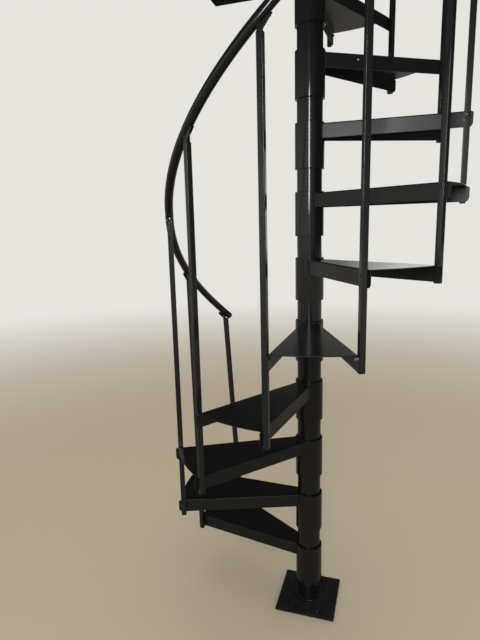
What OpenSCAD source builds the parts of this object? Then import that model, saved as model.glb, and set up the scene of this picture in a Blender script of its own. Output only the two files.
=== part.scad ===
// Spiral staircase: ten pie-shaped treads on hub sleeves round one centre pole.
// Square balusters are bolted between neighbouring treads and carry a round helical handrail.
// A square landing with one guarded side stands one rise above the last tread.
// Millimetres, +Z up. The origin is on the pole's axis at the underside of the base plate.
// The stair climbs counter-clockwise seen from above.

/* [Stair] */
// Rise from one tread's top to the next
step_rise = 240; // [190:1:260]
// Turn from one tread to the next, in degrees
step_angle = 30.8; // [29:0.1:33]
// Direction of the first baluster, in degrees counter-clockwise from +X
first_angle = 142; // [100:1:180]

/* [Base plate] */
// Side of the square base plate
base_side = 240; // [220:1:320]
// Thickness of the base plate
base_thick = 10; // [6:1:20]
// Distance between the anchor holes along X
anchor_pitch_x = 105; // [60:1:205]
// Distance between the anchor holes along Y
anchor_pitch_y = 190; // [150:1:205]
// Diameter of the anchor holes
anchor_hole_d = 14; // [10:0.5:18]

/* [Centre pole] */
// Outer diameter of the pole
pole_d = 92; // [76:0.1:100]
// Wall of the pole
pole_wall = 5; // [3:0.5:8]
// Height of the pole's top over the guard rail's centre
pole_above = 35; // [20:1:200]
// Thickness of the cap's disc
cap_thick = 6; // [4:1:12]
// Depth of the cap's plug inside the pole
cap_plug = 25; // [15:1:60]
// Gap between the cap's plug and the pole
cap_gap = 0.3; // [0.1:0.1:0.8]

/* [Treads] */
// Wall of the hub sleeve
hub_wall = 7; // [4:0.5:10]
// Height of the hub sleeve
hub_height = 160; // [120:1:180]
// Height of the hub's top over the tread's top
hub_lip = 6; // [2:1:20]
// Gap between the pole and the hub sleeve
hub_gap = 0.3; // [0.1:0.1:0.8]
// Width of the tread where it meets the hub
tread_neck = 68; // [50:1:80]
// Thickness of the tread's sheet
sheet_thick = 3; // [2:0.5:5]
// Depth of the side flanges below the tread's top
flange_depth = 51; // [36:1:65]
// Reach of the flange ends past the baluster centres
tab_reach = 20; // [12:1:30]
// Setback of the plate's outer edge from the flange ends
plate_setback = 12; // [1:0.5:16]
// Length of the rounded corner under the flange's end
corner_length = 12; // [5:1:20]
// Height of the rounded corner under the flange's end
corner_height = 16; // [10:1:34]
// Diameter of the hub's set screw holes
set_hole_d = 8; // [5:0.5:10]
// Depth of the set screw holes below the hub's top
set_hole_drop = 32; // [20:1:60]
// Angle of the set screw holes from the tread's middle
set_hole_angle = 60; // [45:1:90]

/* [Balusters] */
// Distance of the baluster centres from the pole's axis
baluster_radius = 518; // [450:1:600]
// Side of the square baluster tube
baluster_side = 19; // [16:0.5:25]
// Wall of the baluster tube
baluster_wall = 1.5; // [1:0.1:2.5]
// Length of the baluster's foot below the flange
foot_drop = 5; // [3:1:20]
// Gap between a baluster and a flange
baluster_gap = 0.2; // [0.1:0.1:0.5]
// Diameter of the bolt holes through balusters and flanges
bolt_hole_d = 7; // [5:0.5:9]
// Depth of the bolts below the tops of the treads that they hold
bolt_drop = 14; // [10:1:30]
// Distance by which the first baluster leans outwards at the rail
lean_out = 28; // [0:1:40]
// Distance by which the first baluster leans up the stair at the rail
lean_along = 38; // [0:1:45]

/* [Handrail] */
// Height of the handrail's centre over the tread below it
rail_height = 1138; // [1000:1:1200]
// Diameter of the handrail
rail_d = 30; // [25:1:42]
// Gap between a baluster's top and the handrail's underside
rail_gap = 24; // [14:1:32]
// Gap between the first baluster's top and the handrail's underside
first_gap = 14; // [14:1:32]
// Reach of the handrail past its first and last baluster
rail_end = 32; // [10:1:60]
// Length of the bracket pad under the handrail
pad_length = 42; // [25:1:60]
// Width of the bracket pad
pad_width = 15; // [10:1:15.6]
// Thickness of the bracket's strip
pad_thick = 3; // [2:0.5:5]
// Depth of the bracket's tongue inside the baluster
tongue_depth = 28; // [15:1:50]
// Thickness of the bracket's tongue
tongue_thick = 4; // [3:0.5:8]
// Gap round the bracket's tongue and under the rail
bracket_gap = 0.2; // [0.1:0.1:0.5]

/* [Landing] */
// Distance of the landing's outer sides past the baluster centres
landing_overhang = 18; // [12:1:100]
// Height of the guard rail's centre over the landing
guard_height = 900; // [850:1:910]
// Distance of the first guard post from the pole's axis
guard_first = 158; // [120:1:200]
// Diameter of the fixing holes in the landing's outer flanges
fixing_hole_d = 10; // [6:0.5:14]
// Distance from the landing's corners to the nearest fixing hole
fixing_inset = 68; // [40:1:120]

/* [Hidden] */

// Whole counts that the named pieces fix
tread_count = 10;
guard_posts = 4;
leaning_balusters = 2;

pole_bore = pole_d - 2 * pole_wall;
hub_bore_r = pole_d / 2 + hub_gap;
hub_r = hub_bore_r + hub_wall;
rail_r = rail_d / 2;
half_side = baluster_side / 2;
flange_reach = baluster_radius + tab_reach;
plate_reach = flange_reach - plate_setback;
landing_reach = baluster_radius + landing_overhang;
landing_z = base_thick + (tread_count + 1) * step_rise;
landing_angle = first_angle + tread_count * step_angle;
// Direction of the hub's free side in the landing's own frame
landing_back = 225;
pole_top = landing_z + guard_height + pole_above;
// Extra length that lets a cutter pass through both faces
cut = 1;
// Sides of the round holes and tubes, and steps of the handrail's sweep and the treads' arcs and corners
round_fn = 64;
hole_fn = 24;
rail_sides = 12;
rail_ring_angle = 4;
arc_steps = 12;
corner_steps = 4;
// Lengths of the cutters through one flange, and through a baluster with its flanges
flange_cut = 4 * sheet_thick;
bolt_cut = baluster_side + 4 * sheet_thick;

// Heights and directions that repeat
function tread_z(n) = base_thick + n * step_rise;
function tread_angle(n) = first_angle + (n - 0.5) * step_angle;
function baluster_angle(n) = first_angle + n * step_angle;

// Handrail centre line: a helix that flares outwards over the leaning balusters
function rail_flare(a) = lean_out * max(0, 1 - (a - first_angle) / (leaning_balusters * step_angle));
function rail_radius(a) = baluster_radius + rail_flare(a);
function rail_z(a) = base_thick + rail_height + step_rise * (a - first_angle) / step_angle;
function rail_point(a) = [rail_radius(a) * cos(a), rail_radius(a) * sin(a), rail_z(a)];
function arc_angle(d) = d / baluster_radius * 180 / PI;
rail_slope = atan(step_rise / (step_angle * PI / 180 * baluster_radius));

// Where each baluster meets the rail, and the height of its pivot on the tread
function top_angle(n) = baluster_angle(n) + (n == 0 ? arc_angle(lean_along) : 0);
function pivot_z(n) = tread_z(max(n, 1));
function top_gap(n) = rail_gap + (first_gap - rail_gap) * max(0, 1 - n / leaning_balusters);
function baluster_top(n) = rail_z(top_angle(n)) - rail_r - top_gap(n);
function baluster_foot(n) = pivot_z(n) - flange_depth - foot_drop;
function lean_turn(n) = top_angle(n) - baluster_angle(n);
function lean_run_out(n) = rail_radius(top_angle(n)) * cos(lean_turn(n)) - baluster_radius;
function lean_run_along(n) = rail_radius(top_angle(n)) * sin(lean_turn(n));

// Tread edge in the tread's own frame, +X along its middle: a line from the hub to the baluster
half_step = step_angle / 2;
edge_start = [sqrt(hub_r * hub_r - tread_neck * tread_neck / 4), tread_neck / 2];
baluster_dir = [cos(half_step), sin(half_step)];
baluster_side_dir = [-sin(half_step), cos(half_step)];
edge_touch = (baluster_radius - half_side) * baluster_dir - (half_side + baluster_gap) * baluster_side_dir;
edge_run = edge_touch - edge_start;
edge_angle = atan2(edge_run[1], edge_run[0]);
edge_dir = [cos(edge_angle), sin(edge_angle)];
// Length from a point to a given radius, along the edge's direction
function run_to(p, r) = sqrt(r * r - p * p + pow(p * edge_dir, 2)) - p * edge_dir;
flange_length = run_to(edge_start, flange_reach);
// The plate ends inside the flanges' thickness, and a little short of their ends
plate_start = edge_start + sheet_thick / 2 * [edge_dir[1], -edge_dir[0]];
plate_corner = plate_start + run_to(plate_start, plate_reach) * edge_dir;
plate_corner_angle = atan2(plate_corner[1], plate_corner[0]);

// Hub sleeve with its bore, top at the given height over the tread's top
module hub_solid() {
    translate([0, 0, hub_lip - hub_height])
        cylinder(h = hub_height, r = hub_r, $fn = round_fn);
}

module hub_cuts(angles) {
    translate([0, 0, hub_lip - hub_height - cut])
        cylinder(h = hub_height + 2 * cut, r = hub_bore_r, $fn = round_fn);
    for (a = angles)
        rotate([0, 0, a])
            translate([0, 0, hub_lip - set_hole_drop])
                rotate([0, 90, 0])
                    cylinder(h = hub_r + cut, d = set_hole_d, $fn = hole_fn);
}

// Flange in its own plane: X along the edge, Y up to the tread's top, rounded under its outer end
module flange_profile() {
    corner = [for (i = [0:corner_steps]) let (a = 90 * i / corner_steps)
        [flange_length - corner_length * (1 - sin(a)), corner_height * (1 - cos(a)) - flange_depth]];
    polygon(concat([[-hub_wall / 2, -flange_depth]], corner, [[flange_length, 0], [-hub_wall / 2, 0]]));
}

module back_flange() {
    translate([edge_start[0], edge_start[1], 0])
        rotate([0, 0, edge_angle])
            rotate([90, 0, 0])
                linear_extrude(height = sheet_thick)
                    flange_profile();
}

module tread_plate() {
    arc = [for (i = [0:arc_steps]) let (a = plate_corner_angle * (1 - 2 * i / arc_steps))
        plate_reach * [cos(a), sin(a)]];
    translate([0, 0, -sheet_thick])
        linear_extrude(height = sheet_thick)
            polygon(concat([[0, 0], plate_start], arc, [[plate_start[0], -plate_start[1]]]));
}

// Bolt hole through a flange, square to the baluster that it holds
module flange_hole(side) {
    rotate([0, 0, side * half_step])
        translate([baluster_radius, 0, -bolt_drop])
            rotate([90, 0, 0])
                cylinder(h = bolt_cut, d = bolt_hole_d, center = true, $fn = hole_fn);
}

module tread(n) {
    color([0.06, 0.06, 0.065])
        translate([0, 0, tread_z(n)])
            rotate([0, 0, tread_angle(n)])
                difference() {
                    union() {
                        hub_solid();
                        tread_plate();
                        back_flange();
                        mirror([0, 1, 0])
                            back_flange();
                    }
                    hub_cuts([set_hole_angle, -set_hole_angle]);
                    flange_hole(1);
                    flange_hole(-1);
                }
}

// Square steel plate with four anchor holes
module base_plate() {
    color([0.06, 0.06, 0.065])
        difference() {
            translate([-base_side / 2, -base_side / 2, 0])
                cube([base_side, base_side, base_thick]);
            for (x = [-1, 1], y = [-1, 1])
                translate([x * anchor_pitch_x / 2, y * anchor_pitch_y / 2, -cut])
                    cylinder(h = base_thick + 2 * cut, d = anchor_hole_d, $fn = hole_fn);
        }
}

module center_pole() {
    color([0.06, 0.06, 0.065])
        difference() {
            translate([0, 0, base_thick])
                cylinder(h = pole_top - base_thick, d = pole_d, $fn = round_fn);
            translate([0, 0, base_thick - cut])
                cylinder(h = pole_top - base_thick + 2 * cut, d = pole_bore, $fn = round_fn);
        }
}

module pole_cap() {
    color([0.05, 0.05, 0.05])
        union() {
            translate([0, 0, pole_top])
                cylinder(h = cap_thick, d = pole_d, $fn = round_fn);
            translate([0, 0, pole_top - cap_plug])
                cylinder(h = cap_plug + cap_thick / 2, d = pole_bore - 2 * cap_gap, $fn = round_fn);
        }
}

// Frame of a baluster: X outwards, Y up the stair, Z up its leaning axis, zero at its pivot
module at_baluster(n) {
    height = rail_z(top_angle(n)) - pivot_z(n);
    rotate([0, 0, baluster_angle(n)])
        translate([baluster_radius, 0, pivot_z(n)])
            rotate([-atan(lean_run_along(n) / height), atan(lean_run_out(n) / height), 0])
                children();
}

module square_tube(low, high) {
    inner = baluster_side - 2 * baluster_wall;
    difference() {
        translate([-half_side, -half_side, low])
            cube([baluster_side, baluster_side, high - low]);
        translate([-inner / 2, -inner / 2, low - cut])
            cube([inner, inner, high - low + 2 * cut]);
    }
}

module cross_hole(z) {
    translate([0, 0, z])
        rotate([90, 0, 0])
            cylinder(h = baluster_side + 2 * cut, d = bolt_hole_d, center = true, $fn = hole_fn);
}

module baluster(n) {
    color([0.07, 0.07, 0.075])
        at_baluster(n)
            difference() {
                square_tube(baluster_foot(n) - pivot_z(n), baluster_top(n) - pivot_z(n));
                cross_hole(-bolt_drop);
                if (n > 0)
                    cross_hole(step_rise - bolt_drop);
            }
}

// Handrail section swept along the helix between two directions
function rail_tangent(a) = let (flare = -lean_out / (leaning_balusters * step_angle) * 180 / PI,
    out = a < first_angle + leaning_balusters * step_angle ? flare : 0,
    v = [out * cos(a) - rail_radius(a) * sin(a), out * sin(a) + rail_radius(a) * cos(a),
        step_rise / step_angle * 180 / PI]) v / norm(v);

function rail_ring(a) = let (t = rail_tangent(a), up = cross([cos(a), sin(a), 0], t),
    u = up / norm(up), w = cross(t, u), c = rail_point(a))
    [for (i = [0:rail_sides - 1]) let (b = 360 * i / rail_sides) c + rail_r * (cos(b) * w + sin(b) * u)];

module handrail(from, to) {
    rings = ceil((to - from) / rail_ring_angle);
    last = rings * rail_sides;
    points = [for (k = [0:rings]) each rail_ring(from + (to - from) * k / rings)];
    sides = [for (k = [0:rings - 1], i = [0:rail_sides - 1])
        let (j = (i + 1) % rail_sides, p = k * rail_sides, q = p + rail_sides)
        [p + i, q + i, q + j, p + j]];
    start_cap = [[for (i = [0:rail_sides - 1]) i]];
    end_cap = [[for (i = [rail_sides - 1:-1:0]) last + i]];
    color([0.06, 0.06, 0.065])
        polyhedron(points = points, faces = concat(start_cap, sides, end_cap), convexity = 6);
}

rail_from = top_angle(0) - arc_angle(rail_end * cos(rail_slope));
rail_to = top_angle(tread_count) + arc_angle(rail_end * cos(rail_slope));
// The rail's joints lie at the brackets of every third baluster, a little down the stair from its middle
joint_back = 1;
joint_angles = [rail_from, baluster_angle(2) - joint_back, baluster_angle(5) - joint_back,
    baluster_angle(8) - joint_back, rail_to];

// Bent bracket: a pad under the rail, and a tongue down inside the baluster
module rail_bracket(n) {
    a = top_angle(n);
    tongue_width = baluster_side - 2 * baluster_wall - 2 * bracket_gap;
    pad_low = rail_r + bracket_gap + pad_thick;
    pad_start = (pad_low * sin(rail_slope) + tongue_thick / 2) / cos(rail_slope);
    pad_middle = (rail_r + bracket_gap + pad_thick / 2) / cos(rail_slope);
    top = baluster_top(n) - pivot_z(n);
    translate(rail_point(a))
        rotate([0, 0, a])
            rotate([rail_slope, 0, 0])
                translate([-pad_width / 2, -pad_start, -pad_low])
                    cube([pad_width, pad_length, pad_thick]);
    at_baluster(n)
        translate([-tongue_width / 2, -tongue_thick / 2, top - tongue_depth])
            cube([tongue_width, tongue_thick, tongue_depth + rail_r + top_gap(n) - pad_middle]);
}

module rail_brackets() {
    color([0.08, 0.08, 0.085])
        for (n = [0:tread_count])
            rail_bracket(n);
}

// Landing in its own frame: +X along the side that faces the last tread, +Y along the guarded side
module landing_flange(length) {
    cube([length, sheet_thick, flange_depth - sheet_thick / 2]);
}

module landing() {
    near = half_side + baluster_gap;
    side = landing_reach - near;
    color([0.06, 0.06, 0.065])
        translate([0, 0, landing_z])
            rotate([0, 0, landing_angle])
                difference() {
                    union() {
                        hub_solid();
                        translate([near, near, -sheet_thick])
                            cube([side, side, sheet_thick]);
                        translate([near, near, -flange_depth])
                            landing_flange(side);
                        translate([near, landing_reach - sheet_thick, -flange_depth])
                            landing_flange(side);
                        translate([near + sheet_thick, near, -flange_depth])
                            rotate([0, 0, 90])
                                landing_flange(side);
                        translate([landing_reach, near, -flange_depth])
                            rotate([0, 0, 90])
                                landing_flange(side);
                    }
                    hub_cuts([landing_back + set_hole_angle, landing_back - set_hole_angle]);
                    for (along = [near + fixing_inset, landing_reach - fixing_inset]) {
                        translate([along, landing_reach, -flange_depth / 2])
                            rotate([90, 0, 0])
                                cylinder(h = flange_cut, d = fixing_hole_d, center = true, $fn = hole_fn);
                        translate([landing_reach, along, -flange_depth / 2])
                            rotate([0, 90, 0])
                                cylinder(h = flange_cut, d = fixing_hole_d, center = true, $fn = hole_fn);
                    }
                    translate([baluster_radius, near, -bolt_drop])
                        rotate([90, 0, 0])
                            cylinder(h = flange_cut, d = bolt_hole_d, center = true, $fn = hole_fn);
                    for (i = [0:guard_posts - 1])
                        translate([near, guard_y(i), -bolt_drop])
                            rotate([0, 90, 0])
                                cylinder(h = flange_cut, d = bolt_hole_d, center = true, $fn = hole_fn);
                }
}

// Guard posts stand on the line through the pole's axis, evenly between the first and the last
function guard_y(i) = guard_first + (baluster_radius - guard_first) * i / (guard_posts - 1);

module landing_posts() {
    top = guard_height - rail_r - bracket_gap;
    color([0.07, 0.07, 0.075])
        translate([0, 0, landing_z])
            rotate([0, 0, landing_angle])
                for (i = [0:guard_posts - 1])
                    translate([0, guard_y(i), 0])
                        difference() {
                            square_tube(-flange_depth - foot_drop, top);
                            rotate([0, 0, 90])
                                cross_hole(-bolt_drop);
                        }
}

// Straight guard rail, hollowed at its inner end to sit on the pole
module landing_rail() {
    color([0.06, 0.06, 0.065])
        translate([0, 0, landing_z + guard_height])
            rotate([0, 0, landing_angle])
                difference() {
                    rotate([-90, 0, 0])
                        cylinder(h = baluster_radius + rail_end, d = rail_d, $fn = round_fn);
                    translate([0, 0, -rail_d])
                        cylinder(h = 2 * rail_d, d = pole_d + 2 * bracket_gap, $fn = round_fn);
                }
}

base_plate();
center_pole();
pole_cap();
tread(1);  // tread_01
tread(2);  // tread_02
tread(3);  // tread_03
tread(4);  // tread_04
tread(5);  // tread_05
tread(6);  // tread_06
tread(7);  // tread_07
tread(8);  // tread_08
tread(9);  // tread_09
tread(10);  // tread_10
landing();
baluster(0);  // baluster_00
baluster(1);  // baluster_01
baluster(2);  // baluster_02
baluster(3);  // baluster_03
baluster(4);  // baluster_04
baluster(5);  // baluster_05
baluster(6);  // baluster_06
baluster(7);  // baluster_07
baluster(8);  // baluster_08
baluster(9);  // baluster_09
baluster(10);  // baluster_10
handrail(joint_angles[0], joint_angles[1]);  // handrail_1
handrail(joint_angles[1], joint_angles[2]);  // handrail_2
handrail(joint_angles[2], joint_angles[3]);  // handrail_3
handrail(joint_angles[3], joint_angles[4]);  // handrail_4
rail_brackets();
landing_posts();
landing_rail();
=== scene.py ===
"""Spiral staircase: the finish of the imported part.

Folded sheet, square and round tube, welds, fasteners and black enamel on the stair's solids, in metres.
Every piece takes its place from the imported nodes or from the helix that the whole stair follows.
"""

import functools
import math

import bmesh
import bpy
from bpy.props import FloatProperty, FloatVectorProperty, IntProperty, PointerProperty
from mathutils import Matrix, Vector


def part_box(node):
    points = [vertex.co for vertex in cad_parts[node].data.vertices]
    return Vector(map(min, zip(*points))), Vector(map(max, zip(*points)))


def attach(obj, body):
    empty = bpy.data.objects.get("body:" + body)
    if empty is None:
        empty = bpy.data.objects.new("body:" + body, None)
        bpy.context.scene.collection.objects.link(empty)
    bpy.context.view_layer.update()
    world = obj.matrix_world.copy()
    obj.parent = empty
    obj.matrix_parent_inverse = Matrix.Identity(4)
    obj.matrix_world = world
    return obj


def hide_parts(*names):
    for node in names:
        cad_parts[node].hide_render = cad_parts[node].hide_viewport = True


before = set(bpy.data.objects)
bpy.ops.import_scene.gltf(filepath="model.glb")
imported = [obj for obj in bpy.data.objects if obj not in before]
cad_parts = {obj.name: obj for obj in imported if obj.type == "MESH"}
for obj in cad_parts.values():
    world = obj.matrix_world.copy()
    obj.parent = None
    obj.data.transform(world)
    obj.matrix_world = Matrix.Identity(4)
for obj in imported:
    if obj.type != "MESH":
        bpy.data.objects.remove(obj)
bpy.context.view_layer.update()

bl_info = {
    "name": "Spiral staircase",
    "version": (1, 0, 0),
    "blender": (4, 5, 0),
    "location": "3D View > Sidebar > Stair",
    "description": "Dresses a steel spiral staircase with folded sheet, smooth rails, fasteners and paint",
    "category": "Object",
}

BASE_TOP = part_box("base_plate")[1].z
POLE_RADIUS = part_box("center_pole")[1].x
POLE_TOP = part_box("center_pole")[1].z
CAP_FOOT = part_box("pole_cap")[0].z
CAP_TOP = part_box("pole_cap")[1].z
POST_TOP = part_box("landing_posts")[1].z
STEP_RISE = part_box("tread_02")[1].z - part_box("tread_01")[1].z
TREADS = sum(name.startswith("tread_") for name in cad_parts)
LANDING_TOP = BASE_TOP + (TREADS + 1) * STEP_RISE

# How many balusters lean at the stair's foot, and at which balusters the handrail's lengths meet
LEANING = 2
JOINT_BALUSTERS = range(2, TREADS, 3)
# Direction in which the landing leaves its hub free, in the landing's frame
FREE_SIDE = math.radians(225)

# Sides of the round shapes: the pole and hubs, the guard rail, the handrail, screws and weld beads
PIPE_SIDES = 128
GUARD_SIDES = 64
ROD_SIDES = 32
SCREW_SIDES = 24
BEAD_SIDES = 10
# Steps of the curves: a tread's arcs, a weld at a hub, the cap's dome, a flange's corner, a bracket's bend,
# a sheet's fold, a screw's head and a square tube's corner
ARC_STEPS = 24
NECK_STEPS = 16
CAP_STEPS = 12
CORNER_STEPS = 6
STRIP_STEPS = 6
FOLD_STEPS = 5
HEAD_STEPS = 5
TUBE_STEPS = 4
# Edges sharper than the first angle are rounded, and than the second one stay sharp in the shading
ROUNDED_FROM = math.radians(50)
SHARP_FROM = math.radians(35)
QUARTER = math.pi / 2


def linear(hex_colour):
    """Linear colour of an sRGB hex value."""
    parts = [int(hex_colour[i:i + 2], 16) / 255 for i in (1, 3, 5)]
    return tuple(p / 12.92 if p <= 0.04045 else ((p + 0.055) / 1.055) ** 2.4 for p in parts)


def metres(name, description, default):
    """A length, given in metres."""
    return FloatProperty(name=name, description=description, default=default, unit="LENGTH",
                         subtype="DISTANCE", precision=4)


def degrees(name, description, default):
    """An angle, given in degrees."""
    return FloatProperty(name=name, description=description, default=math.radians(default), subtype="ANGLE")


def paint(name, description, hex_colour):
    """A colour, given as an sRGB hex value."""
    return FloatVectorProperty(name=name, description=description, default=linear(hex_colour),
                               subtype="COLOR", min=0, max=1)


class StairLayout(bpy.types.PropertyGroup):
    """Places that every piece shares."""

    step_angle: degrees("Turn", "Turn from one tread to the next", 30.8)
    first_angle: degrees("First baluster", "Direction of the first baluster from +X", 142)
    baluster_radius: metres("Baluster circle", "Distance of the balusters from the pole's axis", 0.518)
    baluster_side: metres("Baluster side", "Side of the square tube", 0.019)
    baluster_wall: metres("Baluster wall", "Wall of the square tube", 0.0015)
    baluster_corner: metres("Baluster corner", "Outer radius of the square tube's corners", 0.0022)
    foot_drop: metres("Foot", "Length of a baluster's foot below the flange", 0.005)
    clearance: metres("Clearance", "Gap between a baluster and a flange", 0.0002)
    lean_out: metres("Lean out", "How far the first baluster leans outwards", 0.028)
    lean_along: metres("Lean along", "How far the first baluster leans up the stair", 0.038)
    guard_first: metres("First post", "Distance of the landing's first post from the pole's axis", 0.158)
    guard_posts: IntProperty(name="Posts", description="Posts on the landing's guarded side",
                             default=4, min=2)


class StairSheet(bpy.types.PropertyGroup):
    """Folded sheet of the treads, and their hub sleeves."""

    thick: metres("Sheet", "Thickness of the sheet", 0.003)
    bend: metres("Bend", "Outer radius of the folded edges", 0.005)
    burr: metres("Edge", "Rounding of the cut edges", 0.0004)
    depth: metres("Flange", "Depth of the side flanges", 0.051)
    neck: metres("Neck", "Width of a tread at its hub", 0.068)
    reach: metres("Reach", "Reach of the flange ends past the baluster centres", 0.020)
    setback: metres("Setback", "Setback of the plate's outer edge from the flange ends", 0.012)
    corner_length: metres("Corner length", "Length of the rounded corner under a flange's end", 0.012)
    corner_height: metres("Corner height", "Height of the rounded corner under a flange's end", 0.016)
    hub_wall: metres("Hub wall", "Wall of the hub sleeve", 0.007)
    hub_gap: metres("Hub gap", "Gap between the pole and the hub sleeve", 0.0003)
    hub_height: metres("Hub height", "Height of the hub sleeve", 0.16)
    hub_lip: metres("Hub lip", "Height of the hub's top over the tread", 0.006)
    hub_chamfer: metres("Hub chamfer", "Chamfer of the hub's rims", 0.001)


class StairPole(bpy.types.PropertyGroup):
    """Centre pole, its cap and its base plate."""

    wall: metres("Wall", "Wall of the pole", 0.005)
    cap_gap: metres("Cap gap", "Gap between the cap's plug and the pole's bore", 0.0003)
    cap_chamfer: metres("Cap chamfer", "Width of the chamfer at the plug's foot, twice as high", 0.001)
    plate_edge: metres("Plate edge", "Rounding of the base plate's edges", 0.0012)


class StairRail(bpy.types.PropertyGroup):
    """Round rails and the brackets that carry the handrail."""

    radius: metres("Radius", "Radius of the handrail and the guard rail", 0.015)
    wall: metres("Wall", "Wall of the handrail, which the brackets' screws enter", 0.002)
    height: metres("Height", "Height of the handrail's centre over the tread below it", 1.138)
    gap: metres("Gap", "Gap between a baluster's top and the handrail", 0.024)
    first_gap: metres("First gap", "Gap between the first baluster's top and the handrail", 0.014)
    end: metres("End", "Reach of the rails past their first and last carriers", 0.032)
    seam: metres("Seam", "Gap at the joints between the rail's lengths", 0.0008)
    joint_back: degrees("Joint", "Turn from a joint of the rail to the baluster after it", 1)
    plug_depth: metres("Plug depth", "Depth of the end plugs inside the rail", 0.01)
    plug_thick: metres("Plug", "Thickness of the end plugs outside the rail", 0.0015)
    plug_edge: metres("Plug edge", "Chamfer of the end plugs", 0.0004)
    guard_height: metres("Guard", "Height of the guard rail's centre over the landing", 0.9)
    guard_root: metres("Guard root", "Depth of the guard rail's end in the pole's wall", 0.002)
    guard_chamfer: metres("Guard chamfer", "Chamfer of the guard rail's free end", 0.001)
    strip_width: metres("Strip width", "Width of the bracket's bent strip", 0.015)
    strip_thick: metres("Strip", "Thickness of the bracket's bent strip", 0.003)
    strip_bend: metres("Strip bend", "Length of the strip's bend on either side of its corner", 0.005)
    strip_edge: metres("Strip edge", "Rounding of the strip's edges", 0.0005)
    strip_shift: metres("Strip shift", "Distance of the strip from the middle of the baluster", 0.0045)
    stand_off: metres("Stand-off", "Gap between the strip and the rail, which a washer fills", 0.0015)
    pad_length: metres("Pad", "Length of the strip under the rail", 0.042)
    tongue_depth: metres("Tongue", "Depth of the strip inside the baluster", 0.028)
    web_thick: metres("Web", "Thickness of the bracket's side web", 0.0025)
    web_depth: metres("Web depth", "Depth of the side web at the end of the pad", 0.009)
    web_inset: metres("Web inset", "Inset of the side web from the baluster's faces", 0.0015)
    web_bolt: metres("Web bolt", "Height of the web's bolt over the baluster's top", 0.0155)


class StairFasteners(bpy.types.PropertyGroup):
    """Bolts, nuts and screws, sized across the flats, and the weld beads."""

    bolt_drop: metres("Bolt drop", "Depth of the bolts below the tops of their treads", 0.014)
    bolt_across: metres("Bolt head", "Width of a baluster bolt's head across its flats", 0.010)
    screw_across: metres("Bracket screw", "Width of a bracket screw's head across its flats", 0.008)
    anchor_across: metres("Anchor head", "Width of an anchor bolt's head across its flats", 0.017)
    anchor_pitch_x: metres("Anchor pitch X", "Distance between the anchors along X", 0.105)
    anchor_pitch_y: metres("Anchor pitch Y", "Distance between the anchors along Y", 0.19)
    set_across: metres("Set screw", "Diameter of a hub's set screw", 0.008)
    set_drop: metres("Set screw drop", "Depth of the set screws below the hub's top", 0.032)
    set_angle: degrees("Set screw angle", "Angle of the set screws from the tread's middle", 60)
    bead: metres("Bead", "Width of the welds between sheet and hub", 0.005)
    foot_bead: metres("Foot bead", "Width of the weld at the pole's foot", 0.008)
    bare_bolt: IntProperty(name="Bare bolt", description="Baluster whose lower bolt is bare zinc",
                           default=5, min=1)
    stray_tread: IntProperty(name="Stray screw", description="Tread with a bare screw in its flange",
                             default=9, min=1)
    stray_run: metres("Stray run", "Distance of the bare screw from the hub", 0.127)
    stray_drop: metres("Stray drop", "Depth of the bare screw below the tread's top", 0.019)
    stray_length: metres("Stray length", "Length of the bare screw's shank", 0.012)


class StairPaint(bpy.types.PropertyGroup):
    """Colours of the finishes."""

    sheet: paint("Treads", "Gloss enamel on the treads and the landing", "#131313")
    pipe: paint("Pole", "Gloss enamel on the pole, the hubs and the base plate", "#131314")
    tube: paint("Balusters", "Semi-gloss enamel on the square tubes", "#1b1b1c")
    rail: paint("Rails", "Gloss enamel on the round rails", "#121213")
    plastic: paint("Caps", "Moulded plastic of the pole's cap and the rail's plugs", "#171717")
    zinc: paint("Zinc", "Zinc plating on the bare screws", "#c4c8cc")
    dust: paint("Dust", "Fine dust that lies on level paint", "#7d766b")


class StairStudio(bpy.types.PropertyGroup):
    """Camera, floor and light."""

    eye: FloatVectorProperty(name="Camera", description="Place of the camera", subtype="TRANSLATION",
                             default=(0.3092, -1.8485, 1.5713))
    turn: FloatVectorProperty(name="Camera turn", description="Turn of the camera about X, Y and Z",
                              subtype="EULER", default=[math.radians(a) for a in (79.305, 1.388, 17.488)])
    lens: FloatProperty(name="Lens", description="Focal length in mm", default=36.52, min=10)
    sensor: FloatProperty(name="Sensor", description="Width of the sensor in mm", default=36, min=10)
    floor: paint("Floor", "Pale painted floor", "#bfb299")
    backdrop: paint("Backdrop", "Pale background", "#e6e4df")


PREFIX = "stair_"
SETTINGS = {
    "layout": StairLayout,
    "sheet": StairSheet,
    "pole": StairPole,
    "rail": StairRail,
    "fasteners": StairFasteners,
    "paint": StairPaint,
    "studio": StairStudio,
}


def setting(group):
    return getattr(bpy.context.scene, PREFIX + group)


# Points and places

def polar(radius, turn, height=0):
    """Point at a distance from the Z axis, in a direction about it."""
    return Vector((radius * math.cos(turn), radius * math.sin(turn), height))


def moved(x, y, z):
    return Matrix.Translation((x, y, z))


def turned(angle, axis):
    return Matrix.Rotation(angle, 4, axis)


def facing(matrix, spot, direction):
    """Place at a spot of a frame, with Z along a direction of that frame."""
    return matrix @ moved(*spot) @ Vector(direction).to_track_quat("Z", "Y").to_matrix().to_4x4()


# The helix: heights and directions that the pieces share

def tread_top(n):
    return BASE_TOP + n * STEP_RISE


def baluster_angle(n):
    layout = setting("layout")
    return layout.first_angle + n * layout.step_angle


def tread_matrix(n):
    """Frame of a tread: X along its middle, Z up from its top."""
    return moved(0, 0, tread_top(n)) @ turned(baluster_angle(n - 0.5), "Z")


def landing_matrix():
    """Frame of the landing: X along the side that faces the last tread, Y along the guarded side."""
    return moved(0, 0, LANDING_TOP) @ turned(baluster_angle(TREADS), "Z")


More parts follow.
